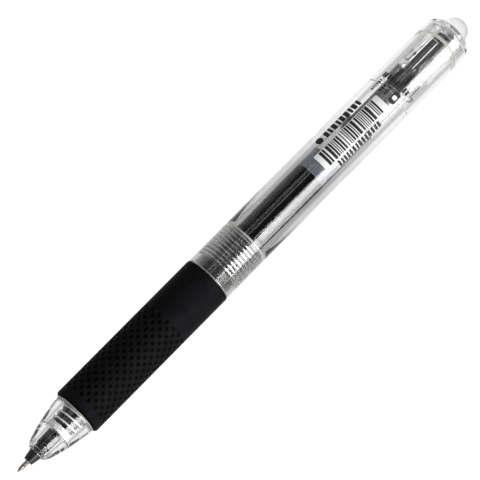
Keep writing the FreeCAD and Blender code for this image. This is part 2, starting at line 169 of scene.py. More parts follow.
def make_softbox(name, tilt, spread, radiance, start, end, distance=1.3):
    """An area light from start to end along X, tilt degrees from overhead towards -Y.

    spread is the angle that its width fills, seen from the pen. radiance is how bright it looks.
    """
    length = end - start
    middle = Vector(((start + end) / 2, 0, 0))
    angle = math.radians(tilt)
    direction = Vector((0, -math.sin(angle), math.cos(angle)))
    width = 2 * distance * math.tan(math.radians(spread) / 2)
    data = bpy.data.lights.new(name, "AREA")
    data.shape = "RECTANGLE"
    data.size = length
    data.size_y = width
    data.energy = radiance * math.pi * length * width
    light = bpy.data.objects.new(name, data)
    bpy.context.scene.collection.objects.link(light)
    across = Vector((1, 0, 0))
    turn = Matrix((across, direction.cross(across), direction)).transposed().to_4x4()
    light.matrix_world = Matrix.Translation(middle + direction * distance) @ turn
    light.visible_camera = False


def make_studio():
    """Soft boxes on both sides, two ceiling strips and a dark room, paler low down.

    The key light is in two parts. The nose and the grip mirror the gap between them.
    """
    make_softbox("key_light", KEY_TILT, KEY_SPREAD, 7.6, 0.345, ROOM_END)
    make_softbox("key_light_nose", KEY_TILT, KEY_SPREAD, 5.0, -0.60, -0.02)
    make_softbox("ceiling_strip", -28, 6, 1.2, ROOM_START, ROOM_END)
    make_softbox("ceiling_strip_near", -12, 4, 1.2, ROOM_START, ROOM_END)
    make_softbox("fill_light", -66, 20, 0.4, ROOM_START, ROOM_END)
    world = bpy.data.worlds.new("world")
    bpy.context.scene.world = world
    world.use_nodes = True
    nodes = world.node_tree.nodes
    links = world.node_tree.links
    place = nodes.new("ShaderNodeTexCoord")
    split = nodes.new("ShaderNodeSeparateXYZ")
    ramp = nodes.new("ShaderNodeValToRGB")
    ramp.color_ramp.elements[0].position = 0.0
    ramp.color_ramp.elements[0].color = (0.55, 0.55, 0.56, 1)
    ramp.color_ramp.elements[1].position = 0.45
    ramp.color_ramp.elements[1].color = (0.02, 0.02, 0.02, 1)
    links.new(place.outputs["Generated"], split.inputs["Vector"])
    links.new(split.outputs["Z"], ramp.inputs["Fac"])
    links.new(ramp.outputs["Color"], nodes["Background"].inputs["Color"])
    bpy.context.scene.view_settings.view_transform = "Standard"


def make_floor():
    """A pale backdrop below the pen, which glows white under it and is dimmer further out."""
    size = 4.0
    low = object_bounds()[0][2] - FLOOR_DROP
    mesh = bpy.data.meshes.new("floor")
    corners = [(-size, -size, 0), (size, -size, 0), (size, size, 0), (-size, size, 0)]
    mesh.from_pydata(corners, [], [(0, 1, 2, 3)])
    floor = bpy.data.objects.new("floor", mesh)
    floor.location = (PEN_MIDDLE + FLOOR_DROP * math.tan(VIEW_LEAN), 0, low)
    bpy.context.scene.collection.objects.link(floor)
    material = new_material("floor_paper")
    nodes = material.node_tree.nodes
    links = material.node_tree.links
    shader = nodes["Principled BSDF"]
    shader.inputs["Base Color"].default_value = (0.05, 0.05, 0.05, 1)
    shader.inputs["Roughness"].default_value = 0.9
    shader.inputs["Specular IOR Level"].default_value = 0.0
    shader.inputs["Emission Strength"].default_value = 1.02
    place = nodes.new("ShaderNodeTexCoord")
    distance = nodes.new("ShaderNodeVectorMath")
    distance.operation = "LENGTH"
    ramp = nodes.new("ShaderNodeValToRGB")
    ramp.color_ramp.elements[0].position = FLOOR_WHITE
    ramp.color_ramp.elements[0].color = (1, 1, 1, 1)
    ramp.color_ramp.elements[1].position = FLOOR_WHITE + FLOOR_FADE
    ramp.color_ramp.elements[1].color = (FLOOR_DIM, FLOOR_DIM, FLOOR_DIM, 1)
    links.new(place.outputs["Object"], distance.inputs[0])
    links.new(distance.outputs["Value"], ramp.inputs["Fac"])
    links.new(ramp.outputs["Color"], shader.inputs["Emission Color"])
    mesh.materials.append(material)
    floor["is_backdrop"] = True


# ------------------------------------------------------------- the materials

# Nearly all the values of a noise lie between these two.
NOISE_LOW = 0.3
NOISE_HIGH = 0.7

# The roughness of polished plastic.
POLISHED = 0.02


def new_material(name):
    """Start a material with its Principled shader."""
    material = bpy.data.materials.new(name)
    material.use_nodes = True
    return material


def add_noise(material, scale, detail=3.0, stretch=(1, 1, 1)):
    """A noise over the piece's own coordinates; scale is in waves per metre."""
    nodes = material.node_tree.nodes
    links = material.node_tree.links
    place = nodes.new("ShaderNodeTexCoord")
    mapping = nodes.new("ShaderNodeMapping")
    mapping.inputs["Scale"].default_value = stretch
    noise = nodes.new("ShaderNodeTexNoise")
    noise.inputs["Scale"].default_value = scale
    noise.inputs["Detail"].default_value = detail
    links.new(place.outputs["Object"], mapping.inputs["Vector"])
    links.new(mapping.outputs["Vector"], noise.inputs["Vector"])
    return noise.outputs["Fac"]


def add_span(material, source, from_low, from_high, low=0.0, high=1.0):
    """Map a value from one range onto low to high, and hold it inside them."""
    span = material.node_tree.nodes.new("ShaderNodeMapRange")
    span.inputs["From Min"].default_value = from_low
    span.inputs["From Max"].default_value = from_high
    span.inputs["To Min"].default_value = low
    span.inputs["To Max"].default_value = high
    material.node_tree.links.new(source, span.inputs["Value"])
    return span.outputs["Result"]


def spread_noise(material, noise, low, high):
    """Map a noise onto low to high."""
    return add_span(material, noise, NOISE_LOW, NOISE_HIGH, low, high)


def spread_mask(material, mask, low, high):
    """Map a mask from 0 to 1 onto low to high."""
    return add_span(material, mask, 0.0, 1.0, low, high)


def add_radius(material, low, high):
    """How far a point is from the pen's axis, from 0 at low to 1 at high."""
    nodes = material.node_tree.nodes
    links = material.node_tree.links
    place = nodes.new("ShaderNodeTexCoord")
    flat = nodes.new("ShaderNodeVectorMath")
    flat.operation = "MULTIPLY"
    flat.inputs[1].default_value = (0, 1, 1)
    length = nodes.new("ShaderNodeVectorMath")
    length.operation = "LENGTH"
    links.new(place.outputs["Object"], flat.inputs[0])
    links.new(flat.outputs["Vector"], length.inputs[0])
    return add_span(material, length.outputs["Value"], low * MM, high * MM)


def add_station(material, low, high, slant=0.0):
    """How far a point is along the pen's axis, from 0 at low to 1 at high.

    slant is how far the stations lean along X for each unit of height.
    """
    nodes = material.node_tree.nodes
    links = material.node_tree.links
    place = nodes.new("ShaderNodeTexCoord")
    along = nodes.new("ShaderNodeVectorMath")
    along.operation = "DOT_PRODUCT"
    along.inputs[1].default_value = (1, 0, -slant)
    links.new(place.outputs["Object"], along.inputs[0])
    return add_span(material, along.outputs["Value"], low * MM, high * MM)


def add_math(material, operation, first, second):
    """Combine two values."""
    node = material.node_tree.nodes.new("ShaderNodeMath")
    node.operation = operation
    material.node_tree.links.new(first, node.inputs[0])
    material.node_tree.links.new(second, node.inputs[1])
    return node.outputs["Value"]


def multiply(material, first, second):
    """Multiply two values."""
    return add_math(material, "MULTIPLY", first, second)


def add_up(material, first, second):
    """Add two values."""
    return add_math(material, "ADD", first, second)


def mask_between(material, low, high, slant=0.0, edge=0.05):
    """1 between two stations along the axis and 0 outside them."""
    after = add_station(material, low - edge, low, slant)
    before = add_station(material, high + edge, high, slant)
    return multiply(material, after, before)


def mix_colours(material, noise, dark, light):
    """Blend two colours by a noise."""
    nodes = material.node_tree.nodes
    ramp = nodes.new("ShaderNodeValToRGB")
    ramp.color_ramp.elements[0].position = NOISE_LOW
    ramp.color_ramp.elements[0].color = (*dark, 1)
    ramp.color_ramp.elements[1].position = NOISE_HIGH
    ramp.color_ramp.elements[1].color = (*light, 1)
    material.node_tree.links.new(noise, ramp.inputs["Fac"])
    return ramp.outputs["Color"]


def blend_colours(material, mask, first, second):
    """Mix two colours or colour sources by a mask, which shows the second where it is 1."""
    nodes = material.node_tree.nodes
    links = material.node_tree.links
    mix = nodes.new("ShaderNodeMix")
    mix.data_type = "RGBA"
    links.new(mask, mix.inputs[0])
    for socket, colour in ((mix.inputs[6], first), (mix.inputs[7], second)):
        if isinstance(colour, tuple):
            socket.default_value = (*colour, 1)
        else:
            links.new(colour, socket)
    return mix.outputs[2]


def add_bump(material, source, strength, depth):
    """Raise the surface by a noise; depth is in metres."""
    nodes = material.node_tree.nodes
    bump = nodes.new("ShaderNodeBump")
    bump.inputs["Strength"].default_value = strength
    bump.inputs["Distance"].default_value = depth
    material.node_tree.links.new(source, bump.inputs["Height"])
    shader = nodes["Principled BSDF"]
    material.node_tree.links.new(bump.outputs["Normal"], shader.inputs["Normal"])


def let_lamps_through(material, tint):
    """Give shadow rays a clear way through, so that lamps reach what is inside."""
    nodes = material.node_tree.nodes
    links = material.node_tree.links
    shader = nodes["Principled BSDF"]
    path = nodes.new("ShaderNodeLightPath")
    clear = nodes.new("ShaderNodeBsdfTransparent")
    clear.inputs["Color"].default_value = (*tint, 1)
    mix = nodes.new("ShaderNodeMixShader")
    links.new(path.outputs["Is Shadow Ray"], mix.inputs["Fac"])
    links.new(shader.outputs["BSDF"], mix.inputs[1])
    links.new(clear.outputs["BSDF"], mix.inputs[2])
    links.new(mix.outputs["Shader"], nodes["Material Output"].inputs["Surface"])


def make_clear_plastic(name, dark, light, ior, rough):
    """Polished clear plastic with faint flow marks and a little tint."""
    material = new_material(name)
    links = material.node_tree.links
    shader = material.node_tree.nodes["Principled BSDF"]
    shader.inputs["Transmission Weight"].default_value = 1
    shader.inputs["IOR"].default_value = ior
    flow = add_noise(material, 160, 2.0, (0.25, 1, 1))
    links.new(mix_colours(material, flow, dark, light), shader.inputs["Base Color"])
    grain = add_noise(material, 900, 2.0)
    roughness = spread_noise(material, grain, rough * 0.5, rough * 1.5)
    links.new(roughness, shader.inputs["Roughness"])
    add_bump(material, flow, 0.05, 0.00001)
    let_lamps_through(material, (0.93, 0.93, 0.93))
    return material


def make_barrel_plastic():
    """The barrel's plastic: painted shade darkens its tint between the nose and the label, with milky
    edges that are partly a painted highlight, and a dull thread.
    """
    # This grey tint is painted shade: it dims what shows through the wall, standing in for shade seen
    # through the barrel.
    painted_shade_dark, painted_shade_light = (0.57, 0.57, 0.56), (0.63, 0.63, 0.62)
    material = make_clear_plastic("clear_plastic", painted_shade_dark, painted_shade_light, 1.58, POLISHED)
    links = material.node_tree.links
    shader = material.node_tree.nodes["Principled BSDF"]
    painted_shade_tint = shader.inputs["Base Color"].links[0].from_socket

    # The painted shade is lighter at the nose and over the label zone, and keeps its dark tint in the
    # thread.
    behind_nose = add_station(material, 20.0, 30.0)
    less_shade_at_label = add_station(material, 92.0, 114.0)
    in_thread = mask_between(material, BARREL_AT + 0.2, SPIGOT_END - 0.2)
    colour = blend_colours(material, behind_nose, (0.93, 0.93, 0.93), painted_shade_tint)
    colour = blend_colours(material, less_shade_at_label, colour, (0.91, 0.91, 0.91))
    colour = blend_colours(material, in_thread, colour, (0.62, 0.62, 0.61))

    inside = add_radius(material, 5.5, 5.4)
    seam = mask_between(material, SEAM_AT - 0.06, SEAM_AT + 0.06, SEAM_RISE / BARREL_RADIUS)
    socket_step = mask_between(material, SPIGOT_END - 0.2, SPIGOT_END + 0.1)
    pocket_step = mask_between(material, POCKET_AT - 0.1, POCKET_AT + 0.1)
    steps = multiply(material, add_up(material, socket_step, pocket_step), inside)
    nose_edge = mask_between(material, NOSE_END - 0.3, NOSE_END)
    barrel_edge = mask_between(material, BARREL_AT, BARREL_AT + 0.15)
    edges = add_up(material, seam, steps)
    edges = add_up(material, edges, nose_edge)
    edges = add_up(material, edges, barrel_edge)

    dull = spread_mask(material, multiply(material, in_thread, inside), POLISHED, 0.22)
    rough = spread_mask(material, edges, 0.0, 0.5)
    links.new(add_up(material, dull, rough), shader.inputs["Roughness"])
    links.new(spread_mask(material, edges, 1.0, 0.6), shader.inputs["Transmission Weight"])
    # The milky colour and lower transmission on these rings are partly the real seam and rough steps,
    # and partly a painted highlight for the bright lines that refraction throws at the steps.
    milky = (0.86, 0.84, 0.80)
    links.new(blend_colours(material, edges, colour, milky), shader.inputs["Base Color"])
    return material


def make_frosted_plastic():
    """Clear plastic that is sandblasted on the dome of the button."""
    clear_dark, clear_light = (0.96, 0.96, 0.96), (0.99, 0.99, 0.99)
    material = make_clear_plastic("clear_plastic_frosted", clear_dark, clear_light, 1.25, POLISHED)
    links = material.node_tree.links
    shader = material.node_tree.nodes["Principled BSDF"]
    blasted = add_station(material, 142.6, 143.2)
    clear = shader.inputs["Base Color"].links[0].from_socket
    white = (0.78, 0.78, 0.77)
    links.new(blend_colours(material, blasted, clear, white), shader.inputs["Base Color"])
    links.new(spread_mask(material, blasted, POLISHED, 0.5), shader.inputs["Roughness"])
    return material


def make_edge_plastic():
    """The milky edges of the ribs, where the mould has left them rough."""
    milky_dark, milky_light = (0.93, 0.93, 0.92), (0.98, 0.98, 0.97)
    material = make_clear_plastic("clear_plastic_edge", milky_dark, milky_light, 1.3, 0.6)
    shader = material.node_tree.nodes["Principled BSDF"]
    shader.inputs["Transmission Weight"].default_value = 0.35
    return material


def make_moulded_plastic(name, dark, light, rough, grain_depth=0.000004):
    """Solid coloured plastic with a fine moulded grain."""
    material = new_material(name)
    links = material.node_tree.links
    shader = material.node_tree.nodes["Principled BSDF"]
    shader.inputs["IOR"].default_value = 1.5
    patches = add_noise(material, 700, 4.0)
    links.new(mix_colours(material, patches, dark, light), shader.inputs["Base Color"])
    grain = add_noise(material, 5000, 3.0)
    roughness = spread_noise(material, grain, rough * 0.85, rough * 1.15)
    links.new(roughness, shader.inputs["Roughness"])
    add_bump(material, grain, 0.4, grain_depth)
    return material


def make_rubber():
    """Matt black rubber with a patchy skin, and painted shade that darkens its dimples."""
    material = new_material("black_rubber")
    links = material.node_tree.links
    shader = material.node_tree.nodes["Principled BSDF"]
    patches = add_noise(material, 350, 4.0)
    skin = mix_colours(material, patches, (0.0050, 0.0045, 0.0055), (0.0085, 0.0078, 0.0092))
    height = add_radius(material, 5.96, 6.06)
    # The dimples' colour is painted shade: darker than the skin, as if shade filled the recesses.
    dimples = (0.001, 0.001, 0.001)
    links.new(blend_colours(material, height, dimples, skin), shader.inputs["Base Color"])
    grain = add_noise(material, 5000, 3.0)
    links.new(spread_noise(material, grain, 0.5, 0.7), shader.inputs["Roughness"])
    shader.inputs["Specular IOR Level"].default_value = 0.04
    add_bump(material, grain, 0.5, 0.000015)
    return material


def make_steel(name, dark, light, rough, metallic=1.0):
    """Turned steel, with tool marks round the axis, and brown with ink at the writing point."""
    material = new_material(name)
    links = material.node_tree.links
    shader = material.node_tree.nodes["Principled BSDF"]
    shader.inputs["Metallic"].default_value = metallic
    marks = add_noise(material, 6000, 2.0, (1, 0.05, 0.05))
    bare = mix_colours(material, marks, dark, light)
    behind_ink = add_station(material, 0.9, 2.4)
    inked = (0.30, 0.21, 0.16)
    links.new(blend_colours(material, behind_ink, inked, bare), shader.inputs["Base Color"])
    roughness = spread_noise(material, marks, rough * 0.7, rough * 1.3)
    links.new(roughness, shader.inputs["Roughness"])
    add_bump(material, marks, 0.25, 0.000003)
    return material


def make_grease():
    """Clear grease, blue-grey over the black ink."""
    material = make_moulded_plastic("grease", (0.24, 0.28, 0.33), (0.40, 0.45, 0.51), 0.25)
    shader = material.node_tree.nodes["Principled BSDF"]
    shader.inputs["Transmission Weight"].default_value = 0.5
    shader.inputs["IOR"].default_value = 1.45
    let_lamps_through(material, (0.5, 0.55, 0.6))
    return material


CLEAR = make_barrel_plastic()
CLEAR_INNER = make_clear_plastic(
    "clear_plastic_inner", (0.97, 0.97, 0.97), (0.99, 0.99, 0.99), 1.2, POLISHED)
EDGE = make_edge_plastic()
FROSTED = make_frosted_plastic()
CLEAR_REFILL = make_clear_plastic("clear_refill", (0.90, 0.91, 0.92), (0.95, 0.96, 0.96), 1.48, 0.06)
RUBBER = make_rubber()
BLACK = make_moulded_plastic("black_plastic", (0.010, 0.010, 0.011), (0.018, 0.018, 0.019), 0.3)
DARK_GREY = make_moulded_plastic("dark_grey_plastic", (0.045, 0.045, 0.048), (0.070, 0.070, 0.075), 0.3)
GREY = make_moulded_plastic("grey_plastic", (0.15, 0.15, 0.16), (0.21, 0.21, 0.22), 0.3)
INK = make_moulded_plastic("gel_ink", (0.003, 0.003, 0.004), (0.007, 0.007, 0.009), 0.15)
GREASE = make_grease()
STEEL = make_steel("steel", (0.45, 0.42, 0.38), (0.72, 0.69, 0.64), 0.22)
SPRING_STEEL = make_steel("spring_steel", (0.88, 0.88, 0.88), (0.97, 0.97, 0.97), 0.55, 0.6)
PRINT_WHITE = make_moulded_plastic("print_white", (0.90, 0.90, 0.90), (0.95, 0.95, 0.95), 0.45)
PRINT_BLACK = make_moulded_plastic("print_black", (0.005, 0.005, 0.005), (0.010, 0.010, 0.010), 0.6)


# --------------------------------------------------------------- mesh making

def arc_points(start, end, radius, steps):
    """Points between start and end on an arc that bulges away from the axis."""
    run = end[0] - start[0]
    rise = end[1] - start[1]
    chord = math.hypot(run, rise)
    half = math.asin(chord / 2 / radius)
    out_x, out_r = -rise / chord, run / chord
    # The arc's centre lies below the middle of the chord.
    centre_x = (start[0] + end[0]) / 2 - out_x * radius * math.cos(half)
    centre_r = (start[1] + end[1]) / 2 - out_r * radius * math.cos(half)
    points = []
    for step in range(1, steps):
        turn = half - 2 * half * step / steps
        wide = radius * math.sin(turn)
        tall = radius * math.cos(turn)
        points.append((centre_x + out_x * tall - out_r * wide, centre_r + out_r * tall + out_x * wide))
    return points


def round_corners(corners, steps=5):
    """Replace each corner (x, r, rounding) of a closed outline by an arc."""
    outline = []
    for number, corner in enumerate(corners):
        if len(corner) == 2:
            outline.append(corner)
            continue
        rounding = corner[2]
        here = Vector(corner[:2])
        before = (Vector(corners[number - 1][:2]) - here).normalized()
        after = (Vector(corners[(number + 1) % len(corners)][:2]) - here).normalized()
        half = before.angle(after) / 2
        reach = rounding / math.tan(half)
        centre = here + (before + after).normalized() * (rounding / math.sin(half))
        first = here + before * reach - centre
        last = here + after * reach - centre
        for step in range(steps + 1):
            spoke = first.lerp(last, step / steps).normalized() * rounding
            outline.append(tuple(centre + spoke))
    return outline


def split_long_runs(outline, longest=2.5, margin=0.2):
    """Add points to an outline's long sides, and close to their two ends."""
    split = []
    for start, end in zip(outline, outline[1:] + outline[:1]):
        split.append(start)
        run = math.hypot(end[0] - start[0], end[1] - start[1])
        if run <= longest:
            continue
        count = math.ceil(run / longest)
        places = [margin / run] + [step / count for step in range(1, count)] + [1 - margin / run]
        for place in places:
            x = start[0] + (end[0] - start[0]) * place
            r = start[1] + (end[1] - start[1]) * place
            split.append((x, r))
    return split


def join_rings(mesh, ring, other):
    """Add the faces between two rings of a turned piece; a ring may be one point on the axis."""
    around = max(len(ring), len(other))
    if around == 1:
        return
    for spoke in range(around):
        following = (spoke + 1) % around
        if len(ring) == 1:
            mesh.faces.new((ring[0], other[following], other[spoke]))
        elif len(other) == 1:
            mesh.faces.new((ring[spoke], ring[following], other[0]))
        else:
            mesh.faces.new((ring[spoke], ring[following], other[following], other[spoke]))


def turned(name, corners, around=AROUND, shape=None, steps=5):
    """Turn a closed outline of (x, r) or (x, r, rounding) corners about the axis.

    shape(x, r, angle) may return a changed (x, r) for each point.
    """
    outline = split_long_runs(round_corners(corners, steps))
    mesh = bmesh.new()
    rings = []
    for x, r in outline:
        if r == 0:
            rings.append([mesh.verts.new((x * MM, 0, 0))])
            continue
        ring = []
        for spoke in range(around):
            angle = 2 * math.pi * spoke / around
            at, out = (x, r) if shape is None else shape(x, r, angle)
            spot = (at * MM, out * MM * math.cos(angle), out * MM * math.sin(angle))
            ring.append(mesh.verts.new(spot))
        rings.append(ring)
    for ring, other in zip(rings, rings[1:] + rings[:1]):
        join_rings(mesh, ring, other)
    return to_object(name, mesh)


def to_object(name, mesh):
    """Make an object of a bmesh, with its faces pointing outwards."""
    bmesh.ops.recalc_face_normals(mesh, faces=mesh.faces)
    data = bpy.data.meshes.new(name)
    mesh.to_mesh(data)
    mesh.free()
    thing = bpy.data.objects.new(name, data)
    bpy.context.scene.collection.objects.link(thing)
    return thing


def plate(name, outline, low, high, place):
    """Extrude a flat outline from low to high; place(a, b, c) gives each corner."""
    mesh = bmesh.new()
    bottom = [mesh.verts.new([value * MM for value in place(a, b, low)]) for a, b in outline]
    top = [mesh.verts.new([value * MM for value in place(a, b, high)]) for a, b in outline]
    mesh.faces.new(bottom)
    mesh.faces.new(top)
    for number in range(len(outline)):
        following = (number + 1) % len(outline)
        mesh.faces.new((bottom[number], bottom[following], top[following], top[number]))
    return to_object(name, mesh)


def spoke_plate(name, outline, low, high, degrees):
    """A plate that stands out from the axis, turned round it by degrees."""
    turn = math.radians(degrees)

    def place(x, side, out):
        y = side * math.cos(turn) + out * math.sin(turn)
        z = out * math.cos(turn) - side * math.sin(turn)
        return x, y, z

    return plate(name, outline, low, high, place)


def spoke_plates(name, outline, low, high, degrees):
    """Give one plate for each rib of the mechanism, the first turned by degrees."""
    for number in range(RIBS):
        yield spoke_plate(name, outline, low, high, degrees + number * 360 / RIBS)


def wire(name, points, radius, sides=16):
    """A round wire along a list of points, closed at both ends."""
    mesh = bmesh.new()
    points = [Vector(point) for point in points]
    rings = []
    for number, point in enumerate(points):
        before = points[max(number - 1, 0)]
        after = points[min(number + 1, len(points) - 1)]
        along = (after - before).normalized()
        out = Vector((0, point.y, point.z)).normalized()
        side = along.cross(out).normalized()
        out = side.cross(along)
        ring = []
        for spoke in range(sides):
            angle = 2 * math.pi * spoke / sides
            spot = point + (out * math.cos(angle) + side * math.sin(angle)) * radius
            ring.append(mesh.verts.new(spot * MM))
        rings.append(ring)
    for ring, other in zip(rings, rings[1:]):
        for spoke in range(sides):
            following = (spoke + 1) % sides
            mesh.faces.new((ring[spoke], ring[following], other[following], other[spoke]))
    mesh.faces.new(rings[0])
    mesh.faces.new(rings[-1])
    return to_object(name, mesh)


def coil(start, end, radius, thickness, closed_turns, open_turns, steps=40):
    """Points of a compression spring with closed coils at both ends, steps to a turn."""
    tight = thickness * 1.08
    span = end - start - thickness
    loose = (span - 2 * closed_turns * tight) / open_turns
    total = 2 * closed_turns + open_turns
    points = []
    for number in range(round(total * steps) + 1):
        turns = number / steps
        x = start + thickness / 2 + tight * min(turns, closed_turns)
        x += loose * min(max(turns - closed_turns, 0), open_turns)
        x += tight * max(turns - closed_turns - open_turns, 0)
        angle = 2 * math.pi * turns
        points.append((x, radius * math.cos(angle), radius * math.sin(angle)))
    return points


def combine(base, tool, operation="UNION"):
    """Add a tool's solid to base or cut it away, and remove the tool."""
    modifier = base.modifiers.new("combine", "BOOLEAN")
    modifier.object = tool
    modifier.operation = operation
    modifier.solver = "EXACT"
    bake_modifiers(base)
    bpy.data.objects.remove(tool)


def bake_modifiers(thing):
    """Turn an object's modifiers into its mesh."""
    graph = bpy.context.evaluated_depsgraph_get()
    done = bpy.data.meshes.new_from_object(thing.evaluated_get(graph))
    thing.modifiers.clear()
    thing.data = done


def bevel(thing, width, segments=2):
    """Round an object's sharp edges."""
    modifier = thing.modifiers.new("bevel", "BEVEL")
    modifier.width = width * MM
    modifier.segments = segments
    modifier.limit_method = "ANGLE"
    modifier.angle_limit = math.radians(40)
    bake_modifiers(thing)


def finish_piece(thing, material, body, nodes=(), sharp=35):
    """Shade a piece, give it its material and tie it to the frame."""
    thing.data.materials.clear()
    thing.data.materials.append(material)
    thing.data.polygons.foreach_set("use_smooth", [True] * len(thing.data.polygons))
    thing.data.set_sharp_from_angle(angle=math.radians(sharp))
    if body is not None:
        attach(thing, body)
    if nodes:
        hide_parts(*nodes)


# ----------------------------------------------------------------- the thread

THREAD_AT = 63.4
THREAD_END = 72.4
THREAD_PITCH = 1.0


def thread_profile(low, high):
    """Corners of a row of ridges from the low radius to the high one."""
    foot = 0.46
    top = 0.06
    rounding = 0.06
    corners = [(THREAD_AT, low)]
    turns = round((THREAD_END - THREAD_AT) / THREAD_PITCH)
    for turn in range(turns):
        middle = THREAD_AT + (turn + 0.5) * THREAD_PITCH
        corners.append((middle - foot, low, rounding))
        corners.append((middle - top, high, rounding))
        corners.append((middle + top, high, rounding))
        corners.append((middle + foot, low, rounding))
    return corners


# ------------------------------------------------------------- barrel pieces

def make_front_barrel():
    """The clear nose, the sleeve under the grip and the threaded spigot."""
    root = 4.85
    crest = 5.2
    mouth = 1.75
    mouth_end = NOSE_AT + 1.2
    nose_bore = 2.1
    spring_seat = SPRING_AT - FIT
    spring_bore = 3.45
    spring_bore_end = 28.0
    swell = (8.2, 3.47)
    nose_end = (NOSE_END, 5.42)
    face_rounding = [(NOSE_AT, 1.95), (NOSE_AT + 0.06, 2.12)]
    corners = [(NOSE_AT, mouth, 0.08)] + face_rounding
    corners += arc_points((NOSE_AT + 0.2, 2.3), swell, 7.5, 8)
    corners += [swell]
    corners += arc_points(swell, nose_end, 55, 14)
    corners += [(NOSE_END - 0.1, nose_end[1]), (NOSE_END, nose_end[1] - 0.1)]
    corners += [(NOSE_END, SLEEVE_RADIUS, 0.1), (THREAD_AT - 0.5, SLEEVE_RADIUS)]
    corners += thread_profile(root, crest)
    corners += [(THREAD_END, root)]
    corners += [(SPIGOT_END, SLEEVE_RADIUS, 0.15), (SPIGOT_END, BORE_RADIUS, 0.15)]
    corners += [(spring_bore_end, BORE_RADIUS, 0.3), (spring_bore_end, spring_bore, 0.2)]
    corners += [(spring_seat, spring_bore, 0.25), (spring_seat, nose_bore, 0.2)]
    corners += [(mouth_end, nose_bore, 0.15), (mouth_end, mouth, 0.1)]
    barrel = turned("front_barrel_clear", corners, steps=3)
    finish_piece(barrel, CLEAR, "barrel", ["front_barrel"], 50)


def lean_of_seam(r, angle):
    """How far along X the slanted seam lies from its middle, at this radius and angle."""
    return SEAM_RISE * r * math.sin(angle) / BARREL_RADIUS


def make_rear_barrel():
    """The clear barrel, with its socket, its tapered bore and its cam pocket."""
    thread_root = 5.3
    thread_crest = 4.95
    socket_end = SPIGOT_END + FIT
    taper_end = 88.0
    taper_radius = 5.4
    taper_curve = 87
    corners = [(BARREL_AT, thread_crest, 0.1), (BARREL_AT, BARREL_RADIUS, 0.25)]
    corners += [(SEAM_AT, BARREL_RADIUS, 0.08), (SEAM_AT, POCKET_RADIUS, 0.03)]
    corners += [(POCKET_AT, POCKET_RADIUS, 0.05), (POCKET_AT, BORE_RADIUS, 0.05)]
    corners += [(taper_end, BORE_RADIUS)]
    # The bore's arc bulges towards the axis, so it is drawn with its radii turned over.
    taper = arc_points((socket_end, -taper_radius), (taper_end, -BORE_RADIUS), taper_curve, 16)
    corners += [(x, -r) for x, r in reversed(taper)]
    corners += [(socket_end, taper_radius, 0.05), (socket_end, thread_crest, 0.05)]
    corners += reversed(thread_profile(thread_crest, thread_root))

    def slant(x, r, angle):
        if x > SEAM_AT - 1:
            return x + lean_of_seam(r, angle), r
        return x, r

    barrel = turned("rear_barrel_clear", corners, shape=slant, steps=3)
    finish_piece(barrel, CLEAR, "barrel", ["rear_barrel"], 50)


def make_rubber_grip():
    """The rubber sleeve, with a chequered field of small square dimples."""
    outside = 6.095
    inside = 4.95
    rows_around = 34
    pitch = 1.121
    first = 21.36
    columns = 23
    depth = 0.2
    half = 0.49
    slope = 0.15
    squareness = 6
    samples = 10
    field_at = first - pitch / 2
    field_end = field_at + columns * pitch
    stations = [field_at + number * pitch / samples for number in range(columns * samples + 1)]
    corners = [(GRIP_AT, inside, 0.1), (GRIP_AT, outside, 0.7)]
    corners += [(x, outside) for x in stations]
    corners += [(GRIP_END, outside, 0.25), (GRIP_END, inside, 0.1)]

    def dimple(x, r, angle):
        if r != outside or not field_at <= x <= field_end:
            return x, r
        column = min(int((x - field_at) / pitch), columns - 1)
        around = angle / (2 * math.pi) * rows_around
        row = int(around)
        if (column + row) % 2:
            return x, r
        along = abs(x - field_at - (column + 0.5) * pitch)
        side = abs(around - row - 0.5) * 2 * math.pi * outside / rows_around
        distance = (along ** squareness + side ** squareness) ** (1 / squareness)
        fall = min(max((half - distance) / slope, 0), 1)
        return x, r - depth * fall * fall * (3 - 2 * fall)

    grip = turned("rubber_grip_dimpled", corners, rows_around * samples, dimple)
    finish_piece(grip, RUBBER, "barrel", ["rubber_grip"], 60)


def make_cam_sleeve():
    """The clear sleeve that the button and the rotor run in, with milky sides on its ribs."""
    outside = 4.55
    bore = 4.05
    rib_radius = 3.35
    rib_at, rib_end, rib_slant = 128.2, 137.0, 0.9
    half = 0.8
    corners = [(CAM_AT, bore, 0.1), (CAM_AT, outside, 0.1)]
    corners += [(CAM_END, outside, 0.1), (CAM_END, bore, 0.1)]
    sleeve = turned("cam_sleeve_clear", corners)
    outline = [(rib_at, -half), (rib_end, -half), (rib_end, half), (rib_at + rib_slant, half)]
    for rib in spoke_plates("rib", outline, rib_radius, bore + 0.2, RIB_TURN):
        bevel(rib, 0.08)
        combine(sleeve, rib)
    finish_piece(sleeve, CLEAR_INNER, "barrel", ["cam_sleeve"], 40)
    sleeve.data.materials.append(EDGE)
    for face in sleeve.data.polygons:
        out = Vector((0, face.center.y, face.center.z))
        if out.length < (bore - 0.02) * MM and abs(face.normal.dot(out.normalized())) < 0.5:
            face.material_index = 1


def make_end_cap():
    """The clear cap with its slanted front, and the clip under it."""
    radius = 5.95
    shoulder = 140.0
    hole = 3.3
    hollow_end = 140.8
    face_edge = (CAP_END, 4.2)
    front = SEAM_AT - 0.02
    corners = [(front, POCKET_RADIUS, 0.03), (front, radius, 0.08), (shoulder, radius)]
    corners += arc_points((shoulder, radius), face_edge, 2.9, 8)
    corners += [face_edge, (CAP_END, hole, 0.15)]
    corners += [(hollow_end, hole, 0.1), (hollow_end, POCKET_RADIUS, 0.3)]

    def slant(x, r, angle):
        if x < SEAM_AT + 1:
            return x + lean_of_seam(r, angle), r
        return x, r

    cap = turned("end_cap_clear", corners, shape=slant)
    clip = make_clip(shoulder)
    combine(cap, clip)
    finish_piece(cap, CLEAR, "barrel", ["end_cap"], 35)


